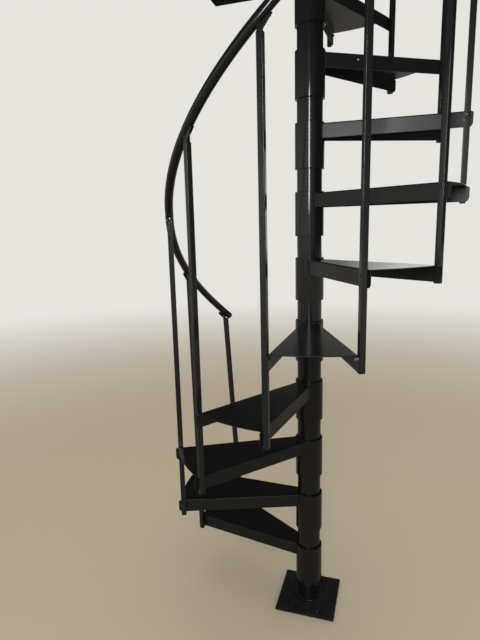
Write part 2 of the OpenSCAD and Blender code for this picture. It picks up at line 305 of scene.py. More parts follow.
def rail_radius(angle):
    """Distance of the handrail from the pole's axis: it flares outwards over the leaning balusters."""
    layout = setting("layout")
    left = max(0, 1 - (angle - layout.first_angle) / (LEANING * layout.step_angle))
    return layout.baluster_radius + layout.lean_out * left


def rail_height(angle):
    layout = setting("layout")
    return BASE_TOP + setting("rail").height + STEP_RISE * (angle - layout.first_angle) / layout.step_angle


def rail_point(angle):
    return polar(rail_radius(angle), angle, rail_height(angle))


def rail_slope():
    layout = setting("layout")
    return math.atan(STEP_RISE / (layout.step_angle * layout.baluster_radius))


def top_angle(n):
    """Direction at which a baluster meets the handrail."""
    layout = setting("layout")
    return baluster_angle(n) + (layout.lean_along / layout.baluster_radius if n == 0 else 0)


def top_gap(n):
    """Gap between a baluster's top and the handrail, which is narrower over the leaning balusters."""
    rail = setting("rail")
    return rail.gap + (rail.first_gap - rail.gap) * max(0, 1 - n / LEANING)


def pivot_height(n):
    """Height of the tread that a baluster starts from."""
    return tread_top(max(n, 1))


def tube_end(n):
    """Height of a baluster's top in its own frame."""
    return rail_height(top_angle(n)) - pivot_height(n) - setting("rail").radius - top_gap(n)


def baluster_matrix(n):
    """Frame of a baluster: X outwards, Y up the stair, Z up its axis from the tread that it starts from."""
    layout = setting("layout")
    top = top_angle(n)
    turn = top - baluster_angle(n)
    height = rail_height(top) - pivot_height(n)
    out = rail_radius(top) * math.cos(turn) - layout.baluster_radius
    along = rail_radius(top) * math.sin(turn)
    return (turned(baluster_angle(n), "Z") @ moved(layout.baluster_radius, 0, pivot_height(n))
            @ turned(math.atan(out / height), "Y") @ turned(-math.atan(along / height), "X"))


def rail_matrix(n):
    """Frame of the handrail over a baluster: X outwards, Y up along the rail."""
    angle = top_angle(n)
    return moved(*rail_point(angle)) @ turned(angle, "Z") @ turned(rail_slope(), "X")


def post_place(i):
    """Distance of a guard post from the pole's axis."""
    layout = setting("layout")
    span = layout.baluster_radius - layout.guard_first
    return layout.guard_first + span * i / (layout.guard_posts - 1)


def hub_radius():
    sheet = setting("sheet")
    return POLE_RADIUS + sheet.hub_gap + sheet.hub_wall


# Nodes and modifiers

def wire(node, inputs):
    """Fill a node's inputs: a node gives its first output in use, a socket is linked, and a value is set."""
    for key, value in inputs.items():
        if isinstance(value, bpy.types.Node):
            value = next(output for output in value.outputs if output.enabled)
        if isinstance(value, bpy.types.NodeSocket):
            node.id_data.links.new(value, node.inputs[key])
        else:
            node.inputs[key].default_value = value


def add_node(tree, kind, inputs=None, **settings):
    """Add a node with its settings and its inputs."""
    node = tree.nodes.new(kind)
    for name, value in settings.items():
        setattr(node, name, value)
    wire(node, inputs or {})
    return node


def start_tree(name, sockets):
    """A Geometry Nodes tree with named inputs for its sizes and material, and the sockets that give them."""
    tree = bpy.data.node_groups.new(name, "GeometryNodeTree")
    for label, kind in {"Geometry": "Geometry", **sockets, "Material": "Material"}.items():
        tree.interface.new_socket(label, in_out="INPUT", socket_type="NodeSocket" + kind)
    tree.interface.new_socket("Geometry", in_out="OUTPUT", socket_type="NodeSocketGeometry")
    return tree, add_node(tree, "NodeGroupInput").outputs


def end_tree(tree, geometry, given):
    """End a tree in real faces of the given material."""
    real = add_node(tree, "GeometryNodeRealizeInstances", {"Geometry": geometry})
    painted = add_node(tree, "GeometryNodeSetMaterial", {"Geometry": real, "Material": given["Material"]})
    add_node(tree, "NodeGroupOutput", {0: painted})
    return tree


def plain_mesh(carrier):
    """The finished mesh of an object, which is removed."""
    bpy.context.view_layer.update()
    made = bpy.data.meshes.new_from_object(carrier.evaluated_get(bpy.context.evaluated_depsgraph_get()))
    bpy.data.objects.remove(carrier)
    return made


def carrier_of(mesh):
    carrier = bpy.data.objects.new("carrier", mesh)
    bpy.context.scene.collection.objects.link(carrier)
    return carrier


def modified(mesh, *steps):
    """Run a mesh through modifiers, given as pairs of a kind and its settings."""
    carrier = carrier_of(mesh)
    for kind, settings in steps:
        modifier = carrier.modifiers.new(kind, kind)
        for name, value in settings.items():
            setattr(modifier, name, value)
    return plain_mesh(carrier)


def softened(mesh, width, *before):
    """Round a mesh's sharp edges, after any modifiers that come before."""
    bevel = {"width": width, "segments": 2, "limit_method": "ANGLE", "angle_limit": ROUNDED_FROM}
    return modified(mesh, *before, ("BEVEL", bevel))


def grown(tree, mesh, inputs):
    """Run a Geometry Nodes tree on a mesh. Its inputs are set by identifier before it is first evaluated."""
    carrier = carrier_of(mesh)
    modifier = carrier.modifiers.new("Nodes", "NODES")
    modifier.node_group = tree
    identifiers = {item.name: item.identifier for item in tree.interface.items_tree
                   if item.in_out == "INPUT"}
    for label, value in inputs.items():
        modifier[identifiers[label]] = value
    return plain_mesh(carrier)


# Meshes and pieces

def to_mesh(bm):
    mesh = bpy.data.meshes.new("shape")
    bm.to_mesh(mesh)
    bm.free()
    return mesh


def smooth(mesh):
    """Shade smooth, but for sharp edges, with normals that keep flat faces flat."""
    mesh.shade_smooth()
    mesh.set_sharp_from_angle(angle=SHARP_FROM)
    return modified(mesh, ("WEIGHTED_NORMAL", {"keep_sharp": True}))


def finished(bm):
    return smooth(to_mesh(bm))


def add_piece(name, mesh, material, replaces=()):
    """Show a mesh as a piece that rides on the stair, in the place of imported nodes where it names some."""
    mesh.name = name
    mesh.materials.clear()
    mesh.materials.append(material)
    piece = bpy.data.objects.new(name, mesh)
    bpy.context.scene.collection.objects.link(piece)
    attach(piece, "root")
    if replaces:
        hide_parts(*replaces)


def lathe(bm, profile, sides=PIPE_SIDES, place=Matrix.Identity(4)):
    """Turn a profile of (radius, height) points about Z. It is a closed loop, or it ends on the axis."""
    rings = []
    for radius, height in profile:
        turns = [math.tau * j / sides for j in range(sides if radius > 0 else 1)]
        rings.append([bm.verts.new(place @ polar(radius, turn, height)) for turn in turns])
    solid = profile[0][0] == 0
    faces = []
    for low, high in zip(rings, rings[1:] if solid else rings[1:] + rings[:1]):
        for j in range(sides):
            around = [low[j % len(low)], low[(j + 1) % len(low)],
                      high[(j + 1) % len(high)], high[j % len(high)]]
            faces.append(bm.faces.new(list(dict.fromkeys(around))))
    bmesh.ops.recalc_face_normals(bm, faces=faces)


def loft(bm, loops, place=Matrix.Identity(4), around=False):
    """Join loops of equal count. The first and the last are closed by faces, or joined to each other."""
    rings = [[bm.verts.new(place @ Vector(point)) for point in loop] for loop in loops]
    count = len(rings[0])
    faces = [] if around else [bm.faces.new(rings[0]), bm.faces.new(rings[-1])]
    for low, high in zip(rings, rings[1:] + (rings[:1] if around else [])):
        for j in range(count):
            faces.append(bm.faces.new((low[j], low[(j + 1) % count], high[(j + 1) % count], high[j])))
    bmesh.ops.recalc_face_normals(bm, faces=faces)


def polygon_ring(sides, radius, height, points=None):
    """Points at a height along a regular polygon, at its corners or spread along its sides."""
    count = points or sides
    ring = []
    for j in range(count):
        turn = math.tau * j / count
        into_side = turn % (math.tau / sides) - math.pi / sides
        ring.append(polar(radius * math.cos(math.pi / sides) / math.cos(into_side), turn, height))
    return ring


def hexagon(bm, across, low, high, place=Matrix.Identity(4), chamfer=0.12):
    """Hexagon bar of a bolt head or nut. The chamfer at its upper end is a share of its corners' reach."""
    corner = across / math.sqrt(3)
    cut = chamfer * corner
    loft(bm, [polygon_ring(6, corner, low), polygon_ring(6, corner, high - cut),
              polygon_ring(6, corner - cut, high)], place)


def disc(bm, radius, low, high, place=Matrix.Identity(4), sides=SCREW_SIDES, chamfer=0.0004):
    """Round disc, shank or bar with a small chamfer at its upper end."""
    cut = min(chamfer, (high - low) / 3)
    lathe(bm, [(0, low), (radius, low), (radius, high - cut), (radius - cut, high), (0, high)], sides, place)


def domed(radius, low, high, rim, steps):
    """Profile of a low dome. Its upright rim is a share of its height."""
    turns = [QUARTER * i / steps for i in range(steps)]
    curve = [(radius * math.cos(t), low + (high - low) * (rim + (1 - rim) * math.sin(t))) for t in turns]
    return [(radius, low), *curve, (0, high)]


def merged_copy(node):
    """A node's mesh with its loose triangles joined, ready for its edges to be rounded."""
    touching = 1e-6
    level = math.radians(0.5)
    bm = bmesh.new()
    bm.from_mesh(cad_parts[node].data)
    bmesh.ops.remove_doubles(bm, verts=bm.verts, dist=touching)
    bmesh.ops.dissolve_limit(bm, angle_limit=level, verts=bm.verts, edges=bm.edges)
    return bm


def rounded(bm, width, weight_of, segments=3):
    """Round a shape's sharp edges by a width, times the weight that a rule gives to each edge."""
    weights = bm.edges.layers.float.new("bevel_weight_edge")
    for edge in bm.edges:
        edge[weights] = weight_of(edge) if edge.calc_face_angle(0) > ROUNDED_FROM else 0
    bevel = {"width": width, "segments": segments, "limit_method": "WEIGHT"}
    return modified(to_mesh(bm), ("BEVEL", bevel))


# Finishes

def made_once(make):
    """Make a finish only when it is first asked for. It is named as its function is."""

    @functools.wraps(make)
    def finish():
        return bpy.data.materials.get(make.__name__) or make(make.__name__)

    return finish


def new_material(name):
    """A material with its tree, its shader and the Object coordinates that its patterns follow."""
    material = bpy.data.materials.new(name)
    material.use_nodes = True
    tree = material.node_tree
    place = add_node(tree, "ShaderNodeTexCoord").outputs["Object"]
    return material, tree, tree.nodes["Principled BSDF"], place


def scale_of(millimetres):
    """Scale of a pattern from the width of its grains."""
    return 1000 / millimetres


def enamel(name, colour, roughness, dust, rubbed=0.0):
    """Black alkyd enamel on steel: a soft sheen, a faint orange peel and thin dust."""
    material, tree, shader, place = new_material(name)
    # Orange peel is 3 mm from crest to crest on the real paint, and is drawn at 9 mm so that it shows
    peel = add_node(tree, "ShaderNodeTexNoise", {"Vector": place, "Scale": scale_of(9), "Detail": 2.0})
    relief = add_node(tree, "ShaderNodeBump", {"Height": peel, "Distance": 0.00002, "Strength": 1.0})
    # Brushing leaves broad patches, about 120 mm wide, that shine a little more or less
    uneven = 0.03
    patch = add_node(tree, "ShaderNodeTexNoise", {"Vector": place, "Scale": scale_of(120), "Detail": 4.0})
    sheen = add_node(tree, "ShaderNodeMapRange", {
        "Value": patch, "From Min": 0.3, "From Max": 0.7,
        "To Min": roughness - uneven, "To Max": roughness + uneven})
    # Dust lies on level faces only, in grains that gather into 20 mm patches
    normal = add_node(tree, "ShaderNodeNewGeometry").outputs["Normal"]
    upward = add_node(tree, "ShaderNodeSeparateXYZ", {"Vector": normal}).outputs["Z"]
    level = add_node(tree, "ShaderNodeMapRange", {"Value": upward, "From Min": 0.7, "From Max": 1.0})
    grain = add_node(tree, "ShaderNodeTexNoise", {"Vector": place, "Scale": scale_of(20), "Detail": 8.0})
    spread = add_node(tree, "ShaderNodeMapRange", {
        "Value": grain, "From Min": 0.35, "From Max": 0.8, "To Max": dust})
    cover = add_node(tree, "ShaderNodeMath", {0: level, 1: spread}, operation="MULTIPLY")
    mixed = add_node(tree, "ShaderNodeMix", {
        "Factor": cover, "A": (*colour, 1), "B": (*setting("paint").dust, 1)}, data_type="RGBA")
    # Feet rub the level faces of the treads smoother
    rub = add_node(tree, "ShaderNodeMapRange", {"Value": level, "To Min": 1.0, "To Max": 1.0 - rubbed})
    worn = add_node(tree, "ShaderNodeMath", {0: sheen, 1: rub}, operation="MULTIPLY")
    rough = add_node(tree, "ShaderNodeMath", {0: cover, 1: worn}, operation="ADD")
    wire(shader, {"Base Color": mixed, "Roughness": rough, "Normal": relief})
    return material


@made_once
def gloss_enamel_on_pressed_steel(name):
    """Gloss paint on flat sheet, dulled by fine grit: a broad soft sheen, smoother where feet rub it."""
    return enamel(name, setting("paint").sheet, roughness=0.4, dust=0.02, rubbed=0.5)


@made_once
def gloss_enamel_on_steel_pipe(name):
    """Gloss paint on the pole and the hubs: a bright narrow line down the round side."""
    return enamel(name, setting("paint").pipe, roughness=0.14, dust=0.02)


@made_once
def dusty_enamel_on_steel_plate(name):
    """Gloss paint at floor level: dull and greyish under the dust that settles there."""
    return enamel(name, setting("paint").pipe, roughness=0.36, dust=0.06)


@made_once
def satin_enamel_on_square_tube(name):
    """Semi-gloss paint on square tube: flat faces that catch the light one at a time."""
    return enamel(name, setting("paint").tube, roughness=0.13, dust=0.01)


@made_once
def gloss_enamel_on_round_tube(name):
    """Gloss paint on the rails, kept clean by hands: a clear line of light along the bend."""
    return enamel(name, setting("paint").rail, roughness=0.14, dust=0.01)


@made_once
def moulded_polyethylene(name):
    """Injection moulded polyethylene: a soft even sheen with a fine moulded grain."""
    material, tree, shader, place = new_material(name)
    # The moulded grain is 1 mm wide
    grain = add_node(tree, "ShaderNodeTexNoise", {"Vector": place, "Scale": scale_of(1), "Detail": 2.0})
    sheen = add_node(tree, "ShaderNodeMapRange", {"Value": grain, "To Min": 0.4, "To Max": 0.55})
    relief = add_node(tree, "ShaderNodeBump", {"Height": grain, "Distance": 0.00005})
    wire(shader, {"Base Color": (*setting("paint").plastic, 1), "Roughness": sheen, "Normal": relief})
    return material


@made_once
def zinc_plated_steel(name):
    """Bright zinc plating on steel screws: a clean metal sheen, clouded in small patches."""
    material, tree, shader, place = new_material(name)
    # The plating clouds in patches of 2 mm
    cloud = add_node(tree, "ShaderNodeTexNoise", {"Vector": place, "Scale": scale_of(2), "Detail": 3.0})
    sheen = add_node(tree, "ShaderNodeMapRange", {"Value": cloud, "To Min": 0.2, "To Max": 0.4})
    wire(shader, {"Base Color": (*setting("paint").zinc, 1), "Metallic": 1, "Roughness": sheen})
    return material


# Treads and landing

def run_to(point, direction, radius):
    """Distance from a point along a direction to a circle round the pole."""
    forward = point.dot(direction)
    return math.sqrt(radius ** 2 - point.length_squared + forward ** 2) - forward


def edge_line():
    """Start and direction of a tread's side edge, in the tread's frame."""
    layout = setting("layout")
    neck = setting("sheet").neck
    half_side = layout.baluster_side / 2
    start = Vector((math.sqrt(hub_radius() ** 2 - neck ** 2 / 4), neck / 2))
    half = layout.step_angle / 2
    towards = Vector((math.cos(half), math.sin(half)))
    across = Vector((-math.sin(half), math.cos(half)))
    touch = (layout.baluster_radius - half_side) * towards - (half_side + layout.clearance) * across
    return start, (touch - start).normalized()


def arc_points(bm, first, last):
    """Vertices from one to another on the circle round the pole that both lie on."""
    radius = first.co.xy.length
    begin, end = (math.atan2(vert.co.y, vert.co.x) for vert in (first, last))
    turns = [begin + (end - begin) * i / ARC_STEPS for i in range(1, ARC_STEPS)]
    return [first, *(bm.verts.new(polar(radius, turn, first.co.z)) for turn in turns), last]


def fold_strands():
    """Lines along one side of a tread, from the plate's edge round the fold to the flange."""
    sheet = setting("sheet")
    start, along = edge_line()
    outward = Vector((-along.y, along.x))
    inner = hub_radius() - sheet.hub_wall / 2
    flange_reach = setting("layout").baluster_radius + sheet.reach
    strands = []
    for k in range(FOLD_STEPS + 1):
        turn = QUARTER * k / FOLD_STEPS
        base = start - sheet.bend * (1 - math.sin(turn)) * outward
        drop = -sheet.bend * (1 - math.cos(turn))
        reach = flange_reach - sheet.setback * (1 - k / FOLD_STEPS)
        ends = [base + run_to(base, along, radius) * along for radius in (inner, reach)]
        strands.append([Vector((*end, drop)) for end in ends])
    return strands


def flange_corner():
    """Points of the rounded corner under a flange's outer end."""
    sheet = setting("sheet")
    start, along = edge_line()
    end_run = run_to(start, along, setting("layout").baluster_radius + sheet.reach)
    corner = []
    for i in range(CORNER_STEPS + 1):
        turn = QUARTER * (1 - i / CORNER_STEPS)
        back = sheet.corner_length * (1 - math.sin(turn))
        rise = sheet.corner_height * (1 - math.cos(turn))
        corner.append(Vector((*(start + (end_run - back) * along), rise - sheet.depth)))
    return corner


def tread_sheet(n):
    """Outer face of a tread's folded sheet: the plate, and a bend and a flange at each side."""
    strands = fold_strands()
    foot = Vector((*strands[-1][0].xy, -setting("sheet").depth))
    bm = bmesh.new()
    sides = {}
    for side in (1, -1):
        mirror = Matrix.Diagonal((1, side, 1))
        lines = [[bm.verts.new(mirror @ point) for point in strand] for strand in strands]
        rim = [bm.verts.new(mirror @ point) for point in [*flange_corner(), foot]]
        quads = [[low[0], low[1], high[1], high[0]] for low, high in zip(lines, lines[1:])]
        for around in [*quads, [*lines[-1], *rim]]:
            bm.faces.new(around[::side])
        sides[side] = lines[0]
    outer = arc_points(bm, sides[-1][1], sides[1][1])
    neck = arc_points(bm, sides[1][0], sides[-1][0])
    bm.faces.new([*outer, *neck])
    bm.transform(tread_matrix(n))
    return to_mesh(bm)


def walled(mesh):
    """Give a sheet's outer face its thickness, and round its cut edges."""
    sheet = setting("sheet")
    wall = {"thickness": sheet.thick, "offset": -1, "use_even_offset": True}
    return softened(mesh, sheet.burr, ("SOLIDIFY", wall))


def hub_profile():
    """Outline of a hub sleeve's wall, as (radius, height) from the tread's top."""
    sheet = setting("sheet")
    bore, outer, chamfer = POLE_RADIUS + sheet.hub_gap, hub_radius(), sheet.hub_chamfer
    low, high = sheet.hub_lip - sheet.hub_height, sheet.hub_lip
    return [(bore, low), (outer - chamfer, low), (outer, low + chamfer), (outer, high - chamfer),
            (outer - chamfer, high), (bore, high)]


class STAIR_OT_treads(bpy.types.Operator):
    """Fold each tread from one sheet round its hub sleeve"""

    bl_idname = "stair.treads"
    bl_label = "Treads"

    def execute(self, context):
        for n in range(1, TREADS + 1):
            node = f"tread_{n:02d}"
            add_piece(node + "_pan", smooth(walled(tread_sheet(n))), gloss_enamel_on_pressed_steel(),
                      [node])
            bm = bmesh.new()
            lathe(bm, hub_profile(), place=tread_matrix(n))
            add_piece(node + "_hub", finished(bm), gloss_enamel_on_steel_pipe(), [node])
        return {"FINISHED"}


class STAIR_OT_landing(bpy.types.Operator):
    """Fold the landing's four edges and round its corners"""

    bl_idname = "stair.landing"
    bl_label = "Landing"

    def execute(self, context):
        sheet = setting("sheet")
        # The upright corners between the flanges are rounded by a share of the folds' radius
        corner_share = 0.4

        def weight(edge):
            first, last = (vert.co for vert in edge.verts)
            folded = min(first.z, last.z) > LANDING_TOP - sheet.thick / 2 and edge.calc_length() > sheet.neck
            upright = abs(first.z - last.z) > sheet.depth / 2 and first.xy.length > sheet.depth * 2
            return 1 if folded else corner_share if upright else 0

        pan = rounded(merged_copy("landing"), sheet.bend, weight, FOLD_STEPS)
        add_piece("landing_pan", smooth(pan), gloss_enamel_on_pressed_steel(), ["landing"])
        return {"FINISHED"}


# Pole and base plate

class STAIR_OT_pole(bpy.types.Operator):
    """Turn the centre pole and its cap, and round the base plate's edges"""

    bl_idname = "stair.pole"
    bl_label = "Pole"

    def execute(self, context):
        sizes = setting("pole")
        bore = POLE_RADIUS - sizes.wall
        bm = bmesh.new()
        lathe(bm, [(bore, BASE_TOP), (POLE_RADIUS, BASE_TOP), (POLE_RADIUS, POLE_TOP), (bore, POLE_TOP)])
        add_piece("pole_pipe", finished(bm), gloss_enamel_on_steel_pipe(), ["center_pole"])

        bm = bmesh.new()
        plug = bore - sizes.cap_gap
        chamfer = sizes.cap_chamfer
        stem = [(0, CAP_FOOT), (plug - chamfer, CAP_FOOT), (plug, CAP_FOOT + 2 * chamfer), (plug, POLE_TOP)]
        lathe(bm, [*stem, *domed(POLE_RADIUS, POLE_TOP, CAP_TOP, rim=0.45, steps=CAP_STEPS)])
        add_piece("pole_cap_plug", finished(bm), moulded_polyethylene(), ["pole_cap"])

        # The short sides of the anchor holes stay sharp
        hole_side = 0.009
        plate = rounded(merged_copy("base_plate"), sizes.plate_edge,
                        lambda edge: 1 if edge.calc_length() > hole_side else 0)
        add_piece("base_plate_steel", smooth(plate), dusty_enamel_on_steel_plate(),
                  ["base_plate"])
        return {"FINISHED"}


# Balusters and posts

def rounded_square(half, corner, height):
    """Points at a height round a square whose corners are rounded."""
    reach = (half - corner) * math.sqrt(2)
    ring = []
    for j in range(4 * (TUBE_STEPS + 1)):
        quarter, step = divmod(j, TUBE_STEPS + 1)
        turn = QUARTER * (quarter + step / TUBE_STEPS)
        middle = QUARTER * (quarter + 0.5)
        ring.append((reach * math.cos(middle) + corner * math.cos(turn),
                     reach * math.sin(middle) + corner * math.sin(turn), height))
    return ring


def square_tube(bm, high, place):
    """Square tube with rounded corners, open at both ends, from below a flange up to a height."""
    layout = setting("layout")
    low = -setting("sheet").depth - layout.foot_drop
    half, wall, corner = layout.baluster_side / 2, layout.baluster_wall, layout.baluster_corner
    outside = [rounded_square(half, corner, height) for height in (low, high)]
    inside = [rounded_square(half - wall, corner - wall, height) for height in (high, low)]
    loft(bm, outside + inside, place, around=True)


class STAIR_OT_balusters(bpy.types.Operator):
    """Cut the balusters and posts from square tube"""

    bl_idname = "stair.balusters"
    bl_label = "Balusters"

    def execute(self, context):
        for n in range(TREADS + 1):
            node = f"baluster_{n:02d}"
            bm = bmesh.new()
            square_tube(bm, tube_end(n), baluster_matrix(n))
            add_piece(node + "_tube", finished(bm), satin_enamel_on_square_tube(), [node])
        bm = bmesh.new()
        for i in range(setting("layout").guard_posts):
            square_tube(bm, POST_TOP - LANDING_TOP, landing_matrix() @ moved(0, post_place(i), 0))
        add_piece("landing_post_tubes", finished(bm), satin_enamel_on_square_tube(),
                  ["landing_posts"])
        return {"FINISHED"}


# Rails and brackets

def helix_tree():
    """A round bar along the handrail's helix, which flares outwards over the leaning balusters."""
    sizes = ("From", "To", "First", "Flare end", "Radius", "Flare", "Height", "Rise per radian", "Bar radius")
    tree, given = start_tree("Helical bar", {**dict.fromkeys(sizes, "Float"), "Steps": "Int", "Sides": "Int"})
    line = add_node(tree, "GeometryNodeCurvePrimitiveLine")
    path = add_node(tree, "GeometryNodeResampleCurve", {"Curve": line, "Count": given["Steps"]})
    values = {size: given[size] for size in sizes}
    values["part"] = add_node(tree, "GeometryNodeSplineParameter").outputs["Factor"]
    values["none"] = 0.0
    # Each value is an operation on two that come before it
    sums = {
        "whole run": ("SUBTRACT", "To", "From"),
        "run": ("MULTIPLY", "part", "whole run"),
        "angle": ("ADD", "From", "run"),
        "whole flare": ("SUBTRACT", "Flare end", "First"),
        "flare left": ("SUBTRACT", "Flare end", "angle"),
        "flare share": ("DIVIDE", "flare left", "whole flare"),
        "flare part": ("MAXIMUM", "flare share", "none"),
        "flare": ("MULTIPLY", "Flare", "flare part"),
        "reach": ("ADD", "Radius", "flare"),
        "cosine": ("COSINE", "angle", "none"),
        "sine": ("SINE", "angle", "none"),
        "turned": ("SUBTRACT", "angle", "First"),
        "climb": ("MULTIPLY", "turned", "Rise per radian"),
        "X": ("MULTIPLY", "reach", "cosine"),
        "Y": ("MULTIPLY", "reach", "sine"),
        "Z": ("ADD", "Height", "climb"),
    }
    for name, (operation, first, second) in sums.items():
        values[name] = add_node(tree, "ShaderNodeMath", {0: values[first], 1: values[second]},
                                operation=operation)
    spot = add_node(tree, "ShaderNodeCombineXYZ", {axis: values[axis] for axis in "XYZ"})
    helix = add_node(tree, "GeometryNodeSetPosition", {"Geometry": path, "Position": spot})
    ring = add_node(tree, "GeometryNodeCurvePrimitiveCircle", {
        "Resolution": given["Sides"], "Radius": given["Bar radius"]})
    bar = add_node(tree, "GeometryNodeCurveToMesh", {
        "Curve": helix, "Profile Curve": ring, "Fill Caps": True})
    return end_tree(tree, bar, given)


def rail_ends():
    """Directions at which the handrail's lengths begin and end."""
    rail = setting("rail")
    past = rail.end * math.cos(rail_slope()) / setting("layout").baluster_radius
    joints = [baluster_angle(n) - rail.joint_back for n in JOINT_BALUSTERS]
    return [top_angle(0) - past, *joints, top_angle(TREADS) + past]


def rail_plug(bm, angle, sign):
    """Plastic plug in the handrail's end at a direction, below it or above it as the sign says."""
    rail = setting("rail")
    near = 0.01
    ahead = (rail_point(angle + near) - rail_point(angle - near)) * sign
    stem, flange, edge, thick = rail.radius * 0.8, rail.radius * 0.99, rail.plug_edge, rail.plug_thick
    profile = [(0, -rail.plug_depth), (stem, -rail.plug_depth), (stem, -edge), (flange, -edge),
               (flange, thick - edge), (flange - edge, thick), (0, thick)]
    lathe(bm, profile, ROD_SIDES, facing(Matrix.Identity(4), rail_point(angle), ahead))


class STAIR_OT_handrail(bpy.types.Operator):
    """Bend the handrail's lengths along their helix, and plug its two ends"""

    bl_idname = "stair.handrail"
    bl_label = "Handrail"

    def execute(self, context):
        layout = setting("layout")
        rail = setting("rail")
        material = gloss_enamel_on_round_tube()
        tree = helix_tree()
        ends = rail_ends()
        half_seam = rail.seam / 2 * math.cos(rail_slope()) / layout.baluster_radius
        for i, (begin, end) in enumerate(zip(ends, ends[1:]), start=1):
            mesh = grown(tree, bpy.data.meshes.new("seed"), {
                "From": begin + half_seam, "To": end - half_seam, "First": layout.first_angle,
                "Flare end": baluster_angle(LEANING), "Flare": layout.lean_out,
                "Radius": layout.baluster_radius, "Height": rail_height(layout.first_angle),
                "Rise per radian": STEP_RISE / layout.step_angle, "Bar radius": rail.radius,
                "Steps": round(math.degrees(end - begin)), "Sides": ROD_SIDES, "Material": material})
            add_piece(f"handrail_{i}_tube", smooth(mesh), material, [f"handrail_{i}"])
        bm = bmesh.new()
        rail_plug(bm, ends[0], -1)
        rail_plug(bm, ends[-1], 1)
        add_piece("rail_plugs", finished(bm), moulded_polyethylene())
        return {"FINISHED"}


def pad_end():
    """Distance up the rail from a baluster's axis to the end of its bracket's pad."""
    rail = setting("rail")
    return rail.pad_length - (rail.radius + rail.strip_thick) * math.tan(rail_slope())


def side_web(bm, n):
    """Flat web on the outer side of a bracket, between the baluster's top and the pad."""
    rail = setting("rail")
    under = rail_matrix(n)
    to_rail = under.inverted() @ baluster_matrix(n)
    half = setting("layout").baluster_side / 2 - rail.web_inset
    foot = tube_end(n) + rail.web_thick / 4
    low = -rail.radius - rail.stand_off
    foot_back, foot_front, above = (to_rail @ Vector(point) for point in (
        (0, -half, foot), (0, half, foot), (0, -half, tube_end(n) + 1)))
    axis = above - foot_back
    # The first pad is so near its baluster that the web begins further along the tube's end
    past = max(0, foot_back.z - low + rail.web_thick / 2)
    foot_back = foot_back.lerp(foot_front, past / (foot_back.z - foot_front.z))
    head_back = foot_back.y + axis.y * (low - foot_back.z) / axis.z
    outline = [foot_back.yz, foot_front.yz, (pad_end() - rail.web_thick, low - rail.web_depth),
               (pad_end(), low), (head_back, low)]
    outer = rail.strip_width / 2
    loft(bm, [[(x, *point) for point in outline] for x in (outer - rail.web_thick, outer)], under)


def strip_path(n):
    """Points up out of a baluster and along under the rail, each with the direction of the strip's width."""
    rail = setting("rail")
    tube = baluster_matrix(n)
    under = rail_matrix(n)
    tube_side, tube_up = (tube.col[i].xyz.normalized() for i in (0, 2))
    pad_side, pad_ahead = (under.col[i].xyz.normalized() for i in (0, 1))
    low = rail.radius + rail.stand_off + rail.strip_thick / 2
    knee = low * math.tan(rail_slope()) - rail.strip_shift / math.cos(rail_slope())
    corner = under @ Vector((0, -knee, -low))
    points = [(tube @ Vector((0, rail.strip_shift, tube_end(n) - rail.tongue_depth)), tube_side)]
    for i in range(STRIP_STEPS + 1):
        t = i / STRIP_STEPS
        curve = corner + (1 - t) ** 2 * -rail.strip_bend * tube_up + t ** 2 * rail.strip_bend * pad_ahead
        points.append((curve, tube_side.lerp(pad_side, t).normalized()))
    points.append((under @ Vector((0, pad_end(), -low)), pad_side))
    return points


def strip(bm, path, width, thick):
    """Bent flat strip along points, each with the direction of its width."""
    loops = []
    for i, (point, side) in enumerate(path):
        behind, ahead = path[max(i - 1, 0)][0], path[min(i + 1, len(path) - 1)][0]
        normal = side.cross((ahead - behind).normalized()).normalized()
        half = side * width / 2
        up = normal * thick / 2
        loops.append([point + half + up, point - half + up, point - half - up, point + half - up])
    loft(bm, loops)


class STAIR_OT_brackets(bpy.types.Operator):
    """Bend the brackets between the balusters and the handrail"""

    bl_idname = "stair.brackets"
    bl_label = "Brackets"

    def execute(self, context):
        rail = setting("rail")
        bm = bmesh.new()
        for n in range(TREADS + 1):
            strip(bm, strip_path(n), rail.strip_width, rail.strip_thick)
            side_web(bm, n)
        add_piece("bracket_strips", smooth(softened(to_mesh(bm), rail.strip_edge)),
                  satin_enamel_on_square_tube(), ["rail_brackets"])
        return {"FINISHED"}


class STAIR_OT_guard(bpy.types.Operator):
    """Set the landing's guard rail on its posts"""

    bl_idname = "stair.guard"
    bl_label = "Guard rail"

    def execute(self, context):
        rail = setting("rail")
        place = landing_matrix() @ moved(0, 0, rail.guard_height) @ turned(-QUARTER, "X")
        end = setting("layout").baluster_radius + rail.end
        bm = bmesh.new()
        disc(bm, rail.radius, POLE_RADIUS - rail.guard_root, end, place, GUARD_SIDES, rail.guard_chamfer)
        add_piece("guard_rail_tube", finished(bm), gloss_enamel_on_round_tube(),
                  ["landing_rail"])
        return {"FINISHED"}


# Fasteners, whose parts are shares of their width across the flats

def copies_tree():
    """A copy of one fastener at each point of a mesh, turned as the point's attribute says."""
    tree, given = start_tree("Fasteners in place", {"Fastener": "Object"})
    shape = add_node(tree, "GeometryNodeObjectInfo", {"Object": given["Fastener"]})
    turn = add_node(tree, "GeometryNodeInputNamedAttribute", {"Name": "turn"}, data_type="FLOAT_VECTOR")
    placed = add_node(tree, "GeometryNodeInstanceOnPoints", {
        "Points": given["Geometry"], "Instance": shape.outputs["Geometry"], "Rotation": turn})
    return end_tree(tree, placed, given)


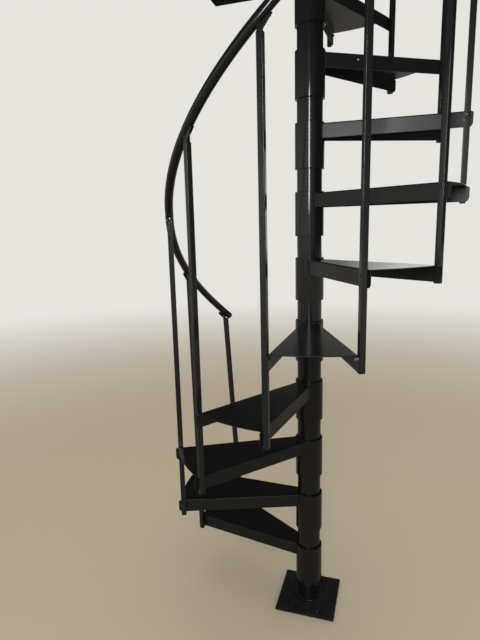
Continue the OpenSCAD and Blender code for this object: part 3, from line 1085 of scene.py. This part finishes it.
def place_copies(name, bm, places, material):
    """Show one fastener's shape at each of the places, as one piece."""
    shape = bpy.data.objects.new("fastener", finished(bm))
    points = bpy.data.meshes.new("points")
    points.from_pydata([place.translation for place in places], [], [])
    turns = points.attributes.new("turn", "FLOAT_VECTOR", "POINT")
    for value, place in zip(turns.data, places):
        value.vector = place.to_euler()
    tree = bpy.data.node_groups.get("Fasteners in place") or copies_tree()
    mesh = grown(tree, points, {"Fastener": shape, "Material": material})
    bpy.data.objects.remove(shape)
    add_piece(name, mesh, material)


def round_head(bm, radius, crown):
    """Low round head on z = 0."""
    lathe(bm, [(0, 0), *domed(radius, 0, crown, rim=0.25, steps=HEAD_STEPS)], SCREW_SIDES)


def through_bolt(across, grip, washer=0.14, flange=0.62, crown=0.2, nut=0.5, shank=0.3, tail=0.75):
    """Carriage bolt with its low round head on z = 0, and its nut and washer beyond the grip."""
    bm = bmesh.new()
    round_head(bm, across * flange, across * crown)
    far = moved(0, 0, -grip) @ turned(math.pi, "X")
    thick = across * washer
    disc(bm, across * flange, 0, thick, far)
    hexagon(bm, across, thick, thick + across * nut, far)
    disc(bm, across * shank, -grip - thick, thick + across * tail, far)
    return bm


def hex_screw(across, length, head, washer=0.12, flange=0.66, shank=0.3, into=0.06):
    """Hexagon screw with its washer on z = 0. Its shank ends inside the washer."""
    bm = bmesh.new()
    disc(bm, across * flange, 0, across * washer)
    hexagon(bm, across, across * washer, across * head)
    disc(bm, across * shank, -length, across * into)
    return bm


def round_screw(across, length, flange=0.6, crown=0.3, shank=0.25):
    """Screw with its low round head on z = 0."""
    into = 0.0005
    bm = bmesh.new()
    round_head(bm, across * flange, across * crown)
    disc(bm, across * shank, -length, into)
    return bm


def set_screw(across, proud=0.0012, chamfer=0.0004, socket=0.003, key=0.58, point=0.25):
    """Socket set screw that stands a little proud of the hub. The socket ends in a drill's point."""
    radius = across / 2
    outside = [(radius, -socket * 2), (radius, proud - chamfer), (radius - chamfer, proud)]
    bm = bmesh.new()
    loft(bm, [*(polygon_ring(SCREW_SIDES, reach, height) for reach, height in outside),
              *(polygon_ring(6, radius * key, height, SCREW_SIDES) for height in (proud, proud - socket)),
              polygon_ring(SCREW_SIDES, radius * point, proud - socket * 1.1)])
    return bm


def baluster_bolts():
    """Bolt the balusters to their treads and the posts to the landing. One bolt is bare."""
    layout = setting("layout")
    sizes = setting("fasteners")
    half_side = layout.baluster_side / 2
    middle = -sizes.bolt_drop
    grip = layout.baluster_side + layout.clearance + setting("sheet").thick
    bolts = [facing(baluster_matrix(0), (0, -half_side, middle), (0, -1, 0))]
    bare = []
    for n in range(1, TREADS + 1):
        tube = baluster_matrix(n)
        lower = bare if n == sizes.bare_bolt else bolts
        lower.append(facing(tube, (0, half_side, middle), (0, 1, 0)))
        bolts.append(facing(tube, (0, -half_side, middle + STEP_RISE), (0, -1, 0)))
    for i in range(layout.guard_posts):
        bolts.append(facing(landing_matrix(), (-half_side, post_place(i), middle), (-1, 0, 0)))
    place_copies("baluster_bolts", through_bolt(sizes.bolt_across, grip), bolts,
                 satin_enamel_on_square_tube())
    place_copies("bare_bolt", through_bolt(sizes.bolt_across, grip), bare, zinc_plated_steel())


def stray_screw():
    """Put a bare screw in one tread's flange."""
    sizes = setting("fasteners")
    start, along = edge_line()
    spot = start + sizes.stray_run * along
    place = facing(tread_matrix(sizes.stray_tread), (spot.x, -spot.y, -sizes.stray_drop),
                   (-along.y, -along.x, 0))
    screw = round_screw(sizes.screw_across, sizes.stray_length)
    place_copies("stray_screw", screw, [place], zinc_plated_steel())


def hub_screws():
    """Put two set screws in each hub, either side of a tread's middle or of the landing's free side."""
    sizes = setting("fasteners")
    height = setting("sheet").hub_lip - sizes.set_drop
    hubs = [(tread_matrix(n), 0) for n in range(1, TREADS + 1)] + [(landing_matrix(), FREE_SIDE)]
    places = []
    for hub, middle in hubs:
        for side in (1, -1):
            turn = middle + side * sizes.set_angle
            places.append(facing(hub, polar(hub_radius(), turn, height), polar(1, turn)))
    place_copies("hub_set_screws", set_screw(sizes.set_across), places, gloss_enamel_on_steel_pipe())


def bracket_screws():
    """Screw each bracket's pad to the rail, and put a bolt through its web."""
    rail = setting("rail")
    across = setting("fasteners").screw_across
    under = rail.radius + rail.stand_off + rail.strip_thick
    grip = rail.strip_thick + rail.stand_off + rail.wall
    # The places are shares of the pad from its end; the lower screw was put in after painting, and is bare
    kinds = (("painted", 0.24, satin_enamel_on_square_tube()), ("bare", 0.73, zinc_plated_steel()))
    for name, share, finish in kinds:
        spot = (0, pad_end() - rail.pad_length * share, -under)
        screws = [facing(rail_matrix(n), spot, (0, 0, -1)) for n in range(TREADS + 1)]
        place_copies("bracket_screws_" + name, hex_screw(across, grip, head=0.5), screws, finish)
    webs = []
    for n in range(TREADS + 1):
        over_tube = Vector((0, 0, tube_end(n) + rail.web_bolt))
        spot = rail_matrix(n).inverted() @ baluster_matrix(n) @ over_tube
        webs.append(facing(rail_matrix(n), (rail.strip_width / 2, *spot.yz), (1, 0, 0)))
    place_copies("bracket_bolts", hex_screw(across, rail.web_thick * 2, head=0.3), webs,
                 satin_enamel_on_square_tube())


def anchor_bolts():
    """Bolt the base plate down. The shank ends at the washer."""
    sizes = setting("fasteners")
    bolt = hex_screw(sizes.anchor_across, BASE_TOP, head=0.6, washer=0.14, flange=0.7, shank=0.33, into=0)
    places = [moved(x * sizes.anchor_pitch_x / 2, y * sizes.anchor_pitch_y / 2, BASE_TOP)
              for x in (-1, 1) for y in (-1, 1)]
    place_copies("anchor_bolts", bolt, places, dusty_enamel_on_steel_plate())


class STAIR_OT_fasteners(bpy.types.Operator):
    """Put the bolts, set screws, bracket screws and anchors in their holes"""

    bl_idname = "stair.fasteners"
    bl_label = "Fasteners"

    def execute(self, context):
        baluster_bolts()
        stray_screw()
        hub_screws()
        bracket_screws()
        anchor_bolts()
        return {"FINISHED"}


# Welds

def bead_tree():
    """Weld bead along each path of a mesh, with the ripples that a welder's steps leave."""
    tree, given = start_tree("Weld bead", dict.fromkeys(("Width", "Ripple", "Seed"), "Float"))
    path = add_node(tree, "GeometryNodeMeshToCurve", {"Mesh": given["Geometry"]})
    # A quarter of a ripple from ring to ring
    step = add_node(tree, "ShaderNodeMath", {0: given["Ripple"], 1: 0.25}, operation="MULTIPLY")
    fine = add_node(tree, "GeometryNodeResampleCurve", {"Curve": path, "Length": step}, mode="LENGTH")
    run = add_node(tree, "GeometryNodeSplineParameter").outputs["Length"]
    count = add_node(tree, "ShaderNodeMath", {0: run, 1: given["Ripple"]}, operation="DIVIDE")
    part = add_node(tree, "ShaderNodeMath", {0: count}, operation="FRACT")
    ripple = add_node(tree, "ShaderNodeMapRange", {"Value": part, "To Min": 0.84, "To Max": 1.0})
    # The bead grows and thins over about 8 mm
    drift = add_node(tree, "ShaderNodeTexNoise", {"W": given["Seed"], "Scale": 120.0, "Detail": 2.0},
                     noise_dimensions="4D")
    uneven = add_node(tree, "ShaderNodeMapRange", {
        "Value": drift, "From Min": 0.3, "From Max": 0.7, "To Min": 0.85, "To Max": 1.1})
    scale = add_node(tree, "ShaderNodeMath", {0: ripple, 1: uneven}, operation="MULTIPLY")
    half = add_node(tree, "ShaderNodeMath", {0: given["Width"], 1: 0.5}, operation="MULTIPLY")
    ring = add_node(tree, "GeometryNodeCurvePrimitiveCircle", {"Resolution": BEAD_SIDES, "Radius": half})
    bead = add_node(tree, "GeometryNodeCurveToMesh", {
        "Curve": fine, "Profile Curve": ring, "Scale": scale, "Fill Caps": True})
    return end_tree(tree, bead, given)


def weld(name, paths, width, material):
    """Run beads of one width along paths; a path is a list of points, and whether it closes."""
    ripple_share = 0.4
    bm = bmesh.new()
    for points, closed in paths:
        verts = [bm.verts.new(point) for point in points]
        for first, second in zip(verts, verts[1:] + (verts[:1] if closed else [])):
            bm.edges.new((first, second))
    tree = bpy.data.node_groups.get("Weld bead") or bead_tree()
    mesh = grown(tree, to_mesh(bm), {
        "Width": width, "Ripple": width * ripple_share, "Seed": 3.0, "Material": material})
    mesh.shade_smooth()
    add_piece(name, mesh, material)


def ring_points(radius, height, begin=0, end=math.tau, steps=PIPE_SIDES):
    """Points on a circle round Z; a whole circle leaves out the last one."""
    count = steps if end - begin >= math.tau else steps + 1
    return [polar(radius, begin + (end - begin) * i / steps, height) for i in range(count)]


class STAIR_OT_welds(bpy.types.Operator):
    """Weld the sheet to the hubs and the pole to its base plate"""

    bl_idname = "stair.welds"
    bl_label = "Welds"

    def execute(self, context):
        sheet = setting("sheet")
        sizes = setting("fasteners")
        radius = hub_radius()
        neck = math.asin(sheet.neck / 2 / radius)
        # The upright welds begin inside the fold, at a share of its radius below the tread's top
        fold_share = 0.4
        paths = []
        for n in range(1, TREADS + 1):
            runs = [ring_points(radius, height, -neck, neck, NECK_STEPS) for height in (0, -sheet.thick)]
            for side in (1, -1):
                spot = radius * polar(1, side * neck)
                runs.append([spot - Vector((0, 0, drop)) for drop in (sheet.bend * fold_share, sheet.depth)])
            paths += [([tread_matrix(n) @ point for point in run], False) for run in runs]
        weld("hub_welds", paths, sizes.bead, gloss_enamel_on_pressed_steel())
        weld("foot_weld", [(ring_points(POLE_RADIUS, BASE_TOP), True)], sizes.foot_bead,
             gloss_enamel_on_steel_pipe())
        return {"FINISHED"}


# Camera, floor and light

def floor_material(studio):
    """Pale floor paint, which the camera sees fade into the backdrop's colour some metres away."""
    material, tree, shader, place = new_material("pale_floor_paint")
    rays = add_node(tree, "ShaderNodeLightPath").outputs
    # Gloss shows the floor round the stair in the shade of the room
    shade = 0.5
    colour = add_node(tree, "ShaderNodeMix", {
        "Factor": rays["Is Glossy Ray"], "A": (*studio.floor, 1),
        "B": (*[shade * part for part in studio.floor], 1)}, data_type="RGBA")
    wire(shader, {"Base Color": colour, "Roughness": 0.6})
    far = add_node(tree, "ShaderNodeEmission", {"Color": (*studio.backdrop, 1), "Strength": 1.0})
    away = add_node(tree, "ShaderNodeVectorMath", {0: place}, operation="LENGTH")
    fade = add_node(tree, "ShaderNodeMapRange", {"Value": away, "From Min": 2.0, "From Max": 9.0},
                    interpolation_type="SMOOTHSTEP")
    # The light that the floor sends to the stair fades less than what the camera sees
    share = add_node(tree, "ShaderNodeMapRange", {
        "Value": rays["Is Camera Ray"], "To Min": 0.4, "To Max": 1.0})
    part = add_node(tree, "ShaderNodeMath", {0: fade, 1: share}, operation="MULTIPLY")
    mixed = add_node(tree, "ShaderNodeMixShader", {0: part, 1: shader, 2: far})
    wire(tree.nodes["Material Output"], {"Surface": mixed})
    return material


def light_world(studio):
    """Even light. Gloss mirrors a pale wall under a dim ceiling, and low light behind the stair."""
    world = bpy.data.worlds.new("studio")
    bpy.context.scene.world = world
    world.use_nodes = True
    tree = world.node_tree
    tree.nodes.clear()
    rays = add_node(tree, "ShaderNodeLightPath").outputs
    way = add_node(tree, "ShaderNodeTexCoord").outputs["Generated"]
    height = add_node(tree, "ShaderNodeSeparateXYZ", {"Vector": way}).outputs["Z"]
    # The wall is brightest at the front left
    bright_side = polar(1, math.radians(-130))
    side = add_node(tree, "ShaderNodeVectorMath", {0: way, 1: bright_side}, operation="DOT_PRODUCT")
    wall = add_node(tree, "ShaderNodeMapRange", {
        "Value": side, "From Min": -0.2, "From Max": 0.9, "To Min": 0.04, "To Max": 1.0})
    ceiling = add_node(tree, "ShaderNodeMapRange", {
        "Value": height, "From Min": 0.05, "From Max": 0.4, "To Min": 1.0, "To Max": 0.1},
        interpolation_type="SMOOTHSTEP")
    room = add_node(tree, "ShaderNodeMath", {0: ceiling, 1: wall}, operation="MULTIPLY")
    # The tops of the upper treads mirror a bright low patch behind the stair, which lies in a soft one.
    # Each has the cosines at which it is whole and gone, the height at which it ends, and its strength
    behind = polar(1, math.radians(78))
    back = add_node(tree, "ShaderNodeVectorMath", {0: way, 1: behind}, operation="DOT_PRODUCT")
    for whole, gone, top, strength in ((1.0, 0.93, 0.26, 2.4), (0.9, 0.8, 0.45, 0.32)):
        patch = add_node(tree, "ShaderNodeMapRange", {"Value": back, "From Min": gone, "From Max": whole},
                         interpolation_type="SMOOTHSTEP")
        low = add_node(tree, "ShaderNodeMapRange", {
            "Value": height, "From Min": 0.07, "From Max": top, "To Min": strength, "To Max": 0.0},
            interpolation_type="SMOOTHSTEP")
        pale = add_node(tree, "ShaderNodeMath", {0: patch, 1: low}, operation="MULTIPLY")
        room = add_node(tree, "ShaderNodeMath", {0: room, 1: pale}, operation="MAXIMUM")
    backdrop = (*studio.backdrop, 1)
    seen = add_node(tree, "ShaderNodeBackground", {"Color": backdrop, "Strength": 1.0})
    mirrored = add_node(tree, "ShaderNodeBackground", {"Color": backdrop, "Strength": room})
    lighting = add_node(tree, "ShaderNodeBackground", {"Color": (1.0, 0.99, 0.97, 1), "Strength": 0.85})
    indirect = add_node(tree, "ShaderNodeMixShader", {0: rays["Is Glossy Ray"], 1: lighting, 2: mirrored})
    straight = add_node(tree, "ShaderNodeMath", {
        0: rays["Is Camera Ray"], 1: rays["Is Transmission Ray"]}, operation="MAXIMUM")
    mixed = add_node(tree, "ShaderNodeMixShader", {0: straight, 1: indirect, 2: seen})
    add_node(tree, "ShaderNodeOutputWorld", {"Surface": mixed})


def soft_lamp(name, place, target, width, height, power):
    """Rectangle of light at a place, turned to a target and hidden from the camera."""
    lamp = bpy.data.lights.new(name, "AREA")
    lamp.shape = "RECTANGLE"
    lamp.size = width
    lamp.size_y = height
    lamp.energy = power
    holder = bpy.data.objects.new(name, lamp)
    bpy.context.scene.collection.objects.link(holder)
    holder.location = place
    holder.rotation_euler = (Vector(target) - Vector(place)).to_track_quat("-Z", "Y").to_euler()
    holder.visible_camera = False


class STAIR_OT_stage(bpy.types.Operator):
    """Set the camera, the floor and the soft light"""

    bl_idname = "stair.stage"
    bl_label = "Stage"

    def execute(self, context):
        studio = setting("studio")
        camera = bpy.data.objects.new("camera", bpy.data.cameras.new("camera"))
        context.scene.collection.objects.link(camera)
        context.scene.camera = camera
        camera.location = studio.eye
        camera.rotation_euler = studio.turn
        camera.data.lens = studio.lens
        camera.data.sensor_width = studio.sensor
        camera.data.sensor_fit = "HORIZONTAL"

        bm = bmesh.new()
        bmesh.ops.create_circle(bm, cap_ends=True, segments=96, radius=30)
        floor = bpy.data.objects.new("floor", to_mesh(bm))
        context.scene.collection.objects.link(floor)
        floor.data.materials.append(floor_material(studio))

        light_world(studio)
        soft_lamp("window", place=(0.2, -2.2, 2.16), target=(0, 0, 1.9), width=0.26, height=0.88, power=17)
        context.scene.view_settings.view_transform = "Standard"
        return {"FINISHED"}


class STAIR_PT_panel(bpy.types.Panel):
    """Lists the stair's sizes and the steps that dress it"""

    bl_idname = "STAIR_PT_panel"
    bl_label = "Spiral staircase"
    bl_space_type = "VIEW_3D"
    bl_region_type = "UI"
    bl_category = "Stair"

    def draw(self, context):
        for group, kind in SETTINGS.items():
            box = self.layout.box()
            for name in kind.__annotations__:
                box.prop(setting(group), name)
        for operator in OPERATORS:
            self.layout.operator(operator.bl_idname)


OPERATORS = (STAIR_OT_stage, STAIR_OT_treads, STAIR_OT_landing, STAIR_OT_pole, STAIR_OT_balusters,
             STAIR_OT_handrail, STAIR_OT_brackets, STAIR_OT_guard, STAIR_OT_fasteners, STAIR_OT_welds)
CLASSES = (*SETTINGS.values(), *OPERATORS, STAIR_PT_panel)


def register():
    for kind in CLASSES:
        bpy.utils.register_class(kind)
    for group, kind in SETTINGS.items():
        setattr(bpy.types.Scene, PREFIX + group, PointerProperty(type=kind))


def unregister():
    for group in SETTINGS:
        delattr(bpy.types.Scene, PREFIX + group)
    for kind in reversed(CLASSES):
        bpy.utils.unregister_class(kind)


def main():
    register()
    bpy.ops.stair.stage()
    bpy.ops.stair.treads()
    bpy.ops.stair.landing()
    bpy.ops.stair.pole()
    bpy.ops.stair.balusters()
    bpy.ops.stair.handrail()
    bpy.ops.stair.brackets()
    bpy.ops.stair.guard()
    bpy.ops.stair.fasteners()
    bpy.ops.stair.welds()


if __name__ == "__main__":
    main()
